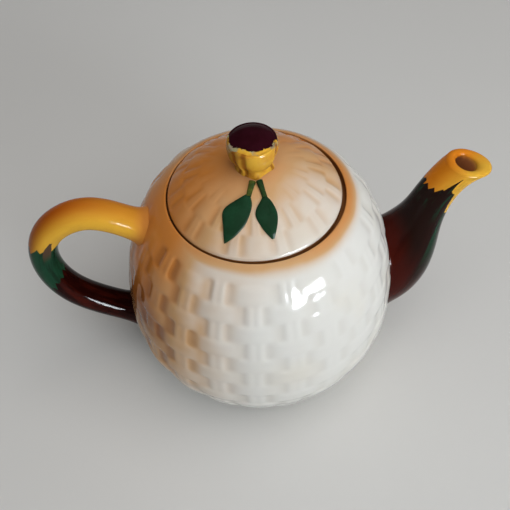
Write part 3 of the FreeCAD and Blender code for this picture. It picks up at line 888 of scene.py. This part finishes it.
# Places of the bands, and strokes by their middle and half width round the tube, start and end along it
HANDLE_GREEN_AT = 60.0
HANDLE_MAROON_AT = 90.0
HANDLE_SPIKE = (0.772, 0.048, 53.0, 71.0)
HANDLE_SPIKE_SLANT = 0.0022  # shares of a turn for each millimetre along
HANDLE_SPIKE_POINT = (8.0, 0.3)  # length of its point, and width there
SPIKE_EDGE = 0.75  # where a stroke's soft sides start, as a share of its half width
STROKE_EDGE = 0.8
STROKE_END = 0.12  # width of a stroke at its end, as a share of its start
SPOUT_BARE = 0.5  # how much less umber there is on the far side
SPOUT_YELLOW_AT = 71.5
SPOUT_YELLOW_LOWER = 17.0  # how much lower the yellow starts on the far side
SPOUT_YELLOW_BACK_LOWER = 6.0  # how much lower it starts on the side that faces the pot
SPOUT_SPIKE = (0.792, 0.042, 68.0, 80.5)
SPOUT_GREEN_STRIPE = (0.660, 0.058, 18.0, 66.0)

# Knob: middle, radius and least height of the plum patch on top, and width and strength of its pale fringe
PLUM_MIDDLE = (LID_SHIFT + 0.5, 2.0)
PLUM_R = 10.6
PLUM_Z = 150.0
PLUM_FRINGE = 1.7
PLUM_FRINGE_SHARE = 0.85
PLUM_TORN = (330.0, 3.0, 0.6)  # noise of the patch's ragged edge
PLUM_TORN_DEPTH = 4.5
PLUM_EDGE = 0.15  # half widths of the soft edges of the patch and the fringe
FRINGE_EDGE = 0.4
CALYX_SHADE = (-CALYX_R, -CALYX_R / 4, 0.8, 0.0)  # painted shade across the knob, darker towards the handle
# Painted shade: brown in the folds between the sepals
CALYX_FOLD_SHADE = (0.3, 1.0, 0.0, 0.8)


class Value:
    """Output of a shader node, for sums and as an input of other nodes."""

    def __init__(self, tree, socket):
        self.tree = tree
        self.socket = socket

    def maths(self, operation, *others):
        """Result of a sum on this value and others."""
        return node(self.tree, "Math", dict(enumerate((self, *others))), operation=operation)

    __add__ = partialmethod(maths, "ADD")
    __sub__ = partialmethod(maths, "SUBTRACT")
    __mul__ = partialmethod(maths, "MULTIPLY")
    __truediv__ = partialmethod(maths, "DIVIDE")


def node(tree, kind, inputs=None, output=0, **settings):
    """One of the outputs of a new node with its settings and inputs."""
    made = tree.nodes.new("ShaderNode" + kind)
    for key, value in settings.items():
        setattr(made, key, value)
    for key, value in (inputs or {}).items():
        if isinstance(value, Value):
            tree.links.new(value.socket, made.inputs[key])
        else:
            made.inputs[key].default_value = value
    return Value(tree, made.outputs[output])


def between(value, low, high, start=0.0, end=1.0):
    """Smooth step of a value from start at low to end at high."""
    inputs = {"Value": value, "From Min": low, "From Max": high, "To Min": start, "To Max": end}
    return node(value.tree, "MapRange", inputs, interpolation_type="SMOOTHSTEP")


def along_axis(spot, axis, low, high, start=0.0, end=1.0):
    """Smooth step along one axis of the frame, between places in millimetres."""
    return between(node(spot.tree, "SeparateXYZ", {0: spot}, output=axis), low * MM, high * MM, start, end)


def blended(share, a, b):
    """Colour a where the share is 0 and b where it is 1."""
    a, b = ((*c, 1.0) if isinstance(c, tuple) else c for c in (a, b))
    return node(share.tree, "Mix", {0: share, 6: a, 7: b}, output=2, data_type="RGBA")


def noise(spot, scale, detail=3.0, roughness=0.5):
    """Cloudy values about 0.5."""
    inputs = {"Vector": spot, "Scale": scale, "Detail": detail, "Roughness": roughness}
    return node(spot.tree, "TexNoise", inputs)


def clouds(spot, scale, low, high, start=0.0, end=1.0):
    """Soft patches of noise."""
    return between(noise(spot, scale), low, high, start, end)


class Glaze:
    """Glossy glaze, painted with nodes on the object's own coordinates."""

    def __init__(self, name, shine):
        self.material = bpy.data.materials.new(name)
        self.material.use_nodes = True
        self.tree = self.material.node_tree
        self.shader = self.tree.nodes["Principled BSDF"]
        self.shader.inputs["IOR"].default_value = GLAZE_IOR
        self.shader.inputs["Specular IOR Level"].default_value = shine
        self.spot = node(self.tree, "TexCoord", output="Object")

    def mark(self, label):
        """Value stored on the piece's points."""
        return node(self.tree, "Attribute", output=2, attribute_name=label)

    def join(self, label, value):
        """Joins a value to an input of the shader."""
        self.tree.links.new(value.socket, self.shader.inputs[label])

    def finished(self, base, gloss=GLOSS):
        """The material with its colour, and the slight ripple and uneven gloss of a hand-dipped glaze."""
        wave = noise(self.spot, *RIPPLE_NOISE)
        inputs = {"Height": wave, "Strength": RIPPLE, "Distance": RIPPLE_DEPTH * MM}
        self.join("Base Color", base)
        self.join("Roughness", clouds(self.spot, *GLOSS_CLOUDS, *gloss))
        self.join("Normal", node(self.tree, "Bump", inputs))
        return self.material


def specks(glaze, base):
    """Scattered pinhead specks fired into the glaze."""
    far = node(glaze.tree, "TexVoronoi", {"Vector": glaze.spot, "Scale": SPECK_SCALE}, output="Distance")
    dot = between(far, *SPECK_SIZE, 1.0, 0.0)
    hue = Value(glaze.tree, far.socket.node.outputs["Color"])
    picked = node(glaze.tree, "SeparateColor", {0: hue}).maths("GREATER_THAN", 1 - SPECK_SHARE)
    return blended(dot * picked, base, SPECK)


def ivory_glaze(name, slots):
    """Ivory glaze with painted shade in the slots, under an uneven stain that pools there, with a brown seat
    and specks.

    The stain is tan where it is thin, and darker low on the belly and at the bottom of the slots as painted
    shade.
    The seat's brown is partly painted shade of the gap."""
    glaze = Glaze(name, PALE_SHINE)
    relief = glaze.mark("relief")
    share = glaze.mark("stain")
    base = blended(clouds(glaze.spot, *IVORY_CLOUDS), IVORY, IVORY_WARM)
    # Painted shade: grey in the slots of the weave
    base = blended(between(relief, *slots), base, SLOT_SHADE_GREY)
    uneven = clouds(glaze.spot, *STAIN_CLOUDS) + between(relief, *STAIN_POOL)
    share = share + uneven * between(share, *STAIN_UNEVEN_SPAN)
    # Stain darker low on the belly: partly the stain, partly painted shade
    full = blended(along_axis(glaze.spot, "Z", *STAIN_SHADED_SPAN), STAIN_SHADED, STAIN)
    base = blended(share * 2.0 - 1.0, blended(share * 2.0, base, TAN), full)
    # Painted shade: the darkest stain at the bottom of the slots, where the stain is strong
    base = blended(between(relief, *STAIN_SLOT_SHADE) * between(share, *STAIN_SLOT_SHADE_SPAN), base, STAIN_SHADED)
    # Brown seat, partly painted shade of the gap
    base = blended(glaze.mark("seat"), base, SEAT_BROWN_AND_SHADE)
    return glaze.finished(specks(glaze, base))


def torn_edge(turn, seed, teeth, depth):
    """Offset of a brushed edge: a row of uneven strokes round a tube."""
    draw = random.Random(seed)
    ramp = node(turn.tree, "ValToRGB", {0: turn})
    stops = ramp.socket.node.color_ramp.elements
    first = draw.random()
    for i in range(teeth + 1):
        low, high = (start + span * draw.random() for start, span in TORN_LEVELS)
        level = first if i in (0, teeth) else low if i % 2 else high
        stray = TORN_STRAY * (draw.random() - 0.5)
        stop = stops[0] if i == 0 else stops[1] if i == teeth else stops.new((i + stray) / teeth)
        stop.color = (level, level, level, 1)
    return (ramp - 0.5) * depth


def tube_marks(glaze, round_scale, along_scale):
    """Way along a tube, share of a turn round it, and noise drawn out along it as brush marks are."""
    along, cosine, sine = (glaze.mark(label) for label in ("along", "round_cos", "round_sin"))
    turn = (sine.maths("ARCTAN2", cosine) / (2 * math.pi)).maths("FRACT")
    parts = (along * along_scale, cosine * round_scale, sine * round_scale)
    spot = node(glaze.tree, "CombineXYZ", dict(enumerate(parts)))
    return along, turn, noise(spot, *BRUSH_NOISE)


def round_from(turn, middle):
    """Distance round a tube from a share of a turn, by the shorter way."""
    return ((turn + (1.5 - middle)).maths("FRACT") - 0.5).maths("ABSOLUTE")


def beside(turn, middle, full, none):
    """1 within a distance round a tube from a share of a turn, falling to 0 at a greater one."""
    return between(round_from(turn, middle), full, none, 1.0, 0.0)


def past(along, at, before=0.0, after=1.0):
    """Step at a place along a tube, with the crisp edge of a brush."""
    return between(along, at - BRUSH_EDGE, at + BRUSH_EDGE, before, after)


def stroke(along, turn, middle, half, start, end):
    """One brush stroke along a tube, drawn out to a point at its end."""
    away = round_from(turn, middle) / between(along, start, end, 1.0, STROKE_END)
    inside = between(away, half * STROKE_EDGE, half, 1.0, 0.0)
    return inside * past(along, start) * past(along, end, 1.0, 0.0)


def slanted_spike(along, turn, middle, half, start, end):
    """One slanting brush stroke along a tube, which starts with a point and fades out."""
    slanted = along * -HANDLE_SPIKE_SLANT + turn
    length, width = HANDLE_SPIKE_POINT
    away = round_from(slanted, middle - HANDLE_SPIKE_SLANT * start)
    away = away / between(along, start, start + length, width, 1.0)
    inside = between(away, half * SPIKE_EDGE, half, 1.0, 0.0)
    return inside * past(along, start) * between(along, (start + end) / 2, end, 1.0, 0.0)


def handle_glaze():
    """Yellow, green and maroon along the handle with brushed edges between them; its outer side is partly
    painted shade.
    """
    glaze = Glaze("painted_handle", DARK_SHINE)
    along, turn, brush = tube_marks(glaze, *HANDLE_BRUSH)
    # Orange and brown on the outer side: partly thicker glaze, partly painted shade
    shade = beside(turn, *HANDLE_SHADE)
    yellow = blended(shade * between(along, *HANDLE_ORANGE), YELLOW, ORANGE)
    yellow = blended(between(brush, *ORANGE_MARKS), yellow, ORANGE)
    yellow = blended(shade * between(along, *HANDLE_BROWN), yellow, BROWN)
    yellow = blended(between(along, *HANDLE_STAIN), yellow, STAIN)
    green = blended(between(brush, *HANDLE_GREEN_MARKS), GREEN, GREEN_DARK)
    maroon = blended(between(brush, *HANDLE_MAROON_MARKS), MAROON_DARK, MAROON)
    base = blended(past(along + torn_edge(turn, *HANDLE_GREEN_EDGE), HANDLE_GREEN_AT), yellow, green)
    base = blended(slanted_spike(along, turn, *HANDLE_SPIKE), base, TAUPE)
    base = blended(past(along + torn_edge(turn, *HANDLE_MAROON_EDGE), HANDLE_MAROON_AT), base, maroon)
    return glaze.finished(base)


def spout_glaze():
    """Maroon spout with umber and green strokes below a yellow tip, and painted shade inside its mouth."""
    glaze = Glaze("painted_spout", DARK_SHINE)
    along, turn, brush = tube_marks(glaze, *SPOUT_BRUSH)
    upper = between(along, *SPOUT_UMBER)
    base = blended(upper - upper * beside(turn, *SPOUT_BARE_SIDE) * SPOUT_BARE, MAROON, UMBER)
    umber = beside(turn, *SPOUT_UMBER_SIDE) * between(along, *SPOUT_UMBER_STROKE)
    base = blended(umber, base, UMBER)
    base = blended(between(brush, *SPOUT_DARK_MARKS), base, MAROON_DARK)
    base = blended(between(along, *SPOUT_GREEN_BAND) * between(brush, *SPOUT_GREEN_MARKS), base, GREEN_DEEP)
    stripe = stroke(along, turn, *SPOUT_GREEN_STRIPE) * between(along, *SPOUT_STRIPE_START)
    base = blended(stripe, base, GREEN_DEEP)
    lower = beside(turn, *SPOUT_YELLOW_FAR) * SPOUT_YELLOW_LOWER
    lower = lower + beside(turn, *SPOUT_YELLOW_BACK) * SPOUT_YELLOW_BACK_LOWER
    tip = blended(beside(turn, *SPOUT_ORANGE_SIDE), YELLOW, TIP_ORANGE)
    tip = blended(between(brush, *ORANGE_MARKS), tip, TIP_ORANGE)
    tip_share = past(along + lower + torn_edge(turn, *SPOUT_YELLOW_EDGE), SPOUT_YELLOW_AT)
    tip_share = tip_share - stroke(along, turn, *SPOUT_SPIKE)
    base = blended(tip_share.maths("MAXIMUM", 0.0), base, tip)
    # Painted shade inside the mouth
    return glaze.finished(blended(glaze.mark("inside"), base, SPOUT_INSIDE_SHADE))


def knob_yellow(spot):
    """Yellow with orange clouds."""
    return blended(clouds(spot, *KNOB_CLOUDS), YELLOW, ORANGE)


def plum_topped(spot, base):
    """Plum brushed raggedly over the top of the knob, with a pale fringe."""
    flat = node(spot.tree, "VectorMath", {0: spot, 1: (1.0, 1.0, 0.0)}, operation="MULTIPLY")
    middle = (PLUM_MIDDLE[0] * MM, PLUM_MIDDLE[1] * MM, 0.0)
    out = node(spot.tree, "VectorMath", {0: flat, 1: middle}, output="Value", operation="DISTANCE")
    out = (noise(spot, *PLUM_TORN) - 0.5) * (PLUM_TORN_DEPTH * MM) + out
    top = along_axis(spot, "Z", PLUM_Z - FRINGE_EDGE, PLUM_Z + FRINGE_EDGE)
    end = PLUM_R + PLUM_FRINGE
    fringe = between(out, (end - FRINGE_EDGE) * MM, (end + FRINGE_EDGE) * MM, PLUM_FRINGE_SHARE, 0.0)
    fringe = fringe * top * clouds(spot, *FRINGE_CLOUDS)
    base = blended(fringe, base, blended(clouds(spot, *FRINGE_HUES), LILAC, SAGE))
    plum = between(out, (PLUM_R - PLUM_EDGE) * MM, (PLUM_R + PLUM_EDGE) * MM, 1.0, 0.0) * top
    return blended(plum, base, blended(clouds(spot, *PLUM_CLOUDS), PLUM, PLUM_LIGHT))


def calyx_glaze():
    """Yellow sepals with painted shade: brown in the folds and darker on the side towards the handle, with
    plum over the lip.
    """
    glaze = Glaze("painted_calyx", PALE_SHINE)
    # Painted shade: olive brown towards the handle, brown in the folds
    base = blended(along_axis(glaze.spot, "X", *CALYX_SHADE), knob_yellow(glaze.spot), OLIVE_SHADE)
    base = blended(between(glaze.mark("fold"), *CALYX_FOLD_SHADE), base, BROWN)
    return glaze.finished(plum_topped(glaze.spot, base))


def bud_glaze():
    """Plum top of the knob, which gives way to yellow at its front edge."""
    glaze = Glaze("plum_bud", DULL_SHINE)
    return glaze.finished(plum_topped(glaze.spot, knob_yellow(glaze.spot)))


def mottled_glaze(name, dark, light, patches, gloss=GLOSS):
    """Single dark glaze that pools darker in places."""
    glaze = Glaze(name, DULL_SHINE)
    return glaze.finished(blended(clouds(glaze.spot, *patches), dark, light), gloss)


# Stage

STAGE_R = 1500.0
STAGE_COVE_R = 450.0
STAGE_MIDDLE_R = 10.0
STAGE_AROUND = 96
STAGE_RINGS = 14
STAGE_ROUGHNESS = 0.6
# Lamps: direction, distance and size in metres, spread in degrees, watts, tint, and whether the glaze mirrors
# them. A mirrored lamp lights nothing.
LIGHT_CENTRE = (0.0, 0.0, 0.07)
WINDOW_LIGHT = (0.88, 0.95, 1.0)
ROOM_LIGHT = (1.0, 0.99, 0.975)
LAMPS = (("window", (0.580, -0.805, 0.122), 1.1, (0.56, 0.32), 180.0, 62.0, WINDOW_LIGHT, True),
         ("key", (0.55, -0.79, 0.27), 1.1, (0.40, 0.28), 70.0, 0.76, WINDOW_LIGHT, False),
         ("fill", (0.26, -0.26, 0.93), 1.4, (1.5, 1.5), 180.0, 11.7, ROOM_LIGHT, False))
SURROUND_SIDE = (0.40, -0.42, 0.81)  # where the surround is brightest
SURROUND = (-0.35, 0.95, 0.09, 0.31)  # cosines from that side between which it brightens, and its levels
SURROUND_LIGHT = (0.97, 0.985, 1.0, 1.0)
CAMERA_AT = (-0.02026, -0.24911, 0.39101)
CAMERA_RIGHT = (0.99292, -0.11437, -0.03209)
CAMERA_UP = (0.10997, 0.78291, 0.61234)
CAMERA_LENS = 54.68
CAMERA_SENSOR = 36.0
CAMERA_NEAR = 0.01


def floor():
    """Pale floor that curves up into a low cove all round."""
    cove = oval(STAGE_R, STAGE_COVE_R, STAGE_COVE_R, -STAGE_COVE_R, np.linspace(math.pi / 2, 0, STAGE_RINGS))
    path = np.vstack([(STAGE_MIDDLE_R, 0), (STAGE_R / 2, 0), cove])
    rings = turned_rings(path, np.zeros((len(path), STAGE_AROUND)))
    ground = ring_piece("floor", rings, (np.zeros(3), None))
    glaze = Glaze("floor", 0.0)
    glaze.shader.inputs["Roughness"].default_value = STAGE_ROUGHNESS
    glaze.join("Base Color", blended(noise(glaze.spot, FLOOR_CLOUDS), *FLOOR_GREYS))
    ground.data.materials.append(glaze.material)


def area_light(name, direction, distance, size, spread, energy, tint, mirrored):
    """Soft box that faces the object from a direction, either mirrored in the glaze or lighting it."""
    data = bpy.data.lights.new(name, "AREA")
    data.shape = "RECTANGLE"
    data.size, data.size_y = size
    data.spread = math.radians(spread)
    data.energy = energy
    data.color = tint
    lamp = bpy.data.objects.new(name, data)
    lamp.visible_glossy = mirrored
    lamp.visible_diffuse = not mirrored
    lamp.visible_camera = False
    way = Vector(direction).normalized()
    lamp.location = Vector(LIGHT_CENTRE) + way * distance
    lamp.rotation_euler = way.to_track_quat("Z", "Y").to_euler()
    bpy.context.scene.collection.objects.link(lamp)


def surround():
    """Dim surround that is brightest on the window's side."""
    world = bpy.data.worlds.new("surround")
    bpy.context.scene.world = world
    world.use_nodes = True
    tree = world.node_tree
    inputs = {0: node(tree, "TexCoord", output="Generated"), 1: tuple(Vector(SURROUND_SIDE).normalized())}
    facing = node(tree, "VectorMath", inputs, output="Value", operation="DOT_PRODUCT")
    background = tree.nodes["Background"]
    background.inputs[0].default_value = SURROUND_LIGHT
    tree.links.new(between(facing, *SURROUND).socket, background.inputs[1])


def camera():
    """Camera at the photograph's viewing angle."""
    data = bpy.data.cameras.new("camera")
    data.lens = CAMERA_LENS
    data.sensor_width = CAMERA_SENSOR
    data.clip_start = CAMERA_NEAR
    eye = bpy.data.objects.new("camera", data)
    right = Vector(CAMERA_RIGHT).normalized()
    up = Vector(CAMERA_UP)
    up = (up - right * up.dot(right)).normalized()
    turn = Matrix((right, up, right.cross(up))).transposed().to_4x4()
    eye.matrix_world = Matrix.Translation(CAMERA_AT) @ turn
    bpy.context.scene.collection.objects.link(eye)
    bpy.context.scene.camera = eye


pot_piece(ivory_glaze("ivory_pot", POT_SLOT_SHADE))
lid_piece(ivory_glaze("ivory_lid", LID_SLOT_SHADE))
handle_piece(handle_glaze())
spout_piece(spout_glaze())
calyx_piece(calyx_glaze())
bud_piece(bud_glaze())
leaf_glaze = mottled_glaze("leaf_green", LEAF_GREEN, LEAF_LIGHT, LEAF_CLOUDS, LEAF_GLOSS)
leaf_piece("left_leaf", LEFT_LEAF, leaf_glaze)
leaf_piece("right_leaf", RIGHT_LEAF, leaf_glaze)
left_stem_glaze = mottled_glaze("left_stem_green", STEM_DARK, STEM_OLIVE, STEM_CLOUDS)
right_stem_glaze = mottled_glaze("right_stem_green", LEAF_GREEN, STEM_DARK, STEM_CLOUDS)
stem_piece("left_leaf_stem", LEFT_LEAF, left_stem_glaze)
stem_piece("right_leaf_stem", RIGHT_LEAF, right_stem_glaze)
floor()
for lamp in LAMPS:
    area_light(*lamp)
surround()
camera()
bpy.context.scene.view_settings.view_transform = "Standard"
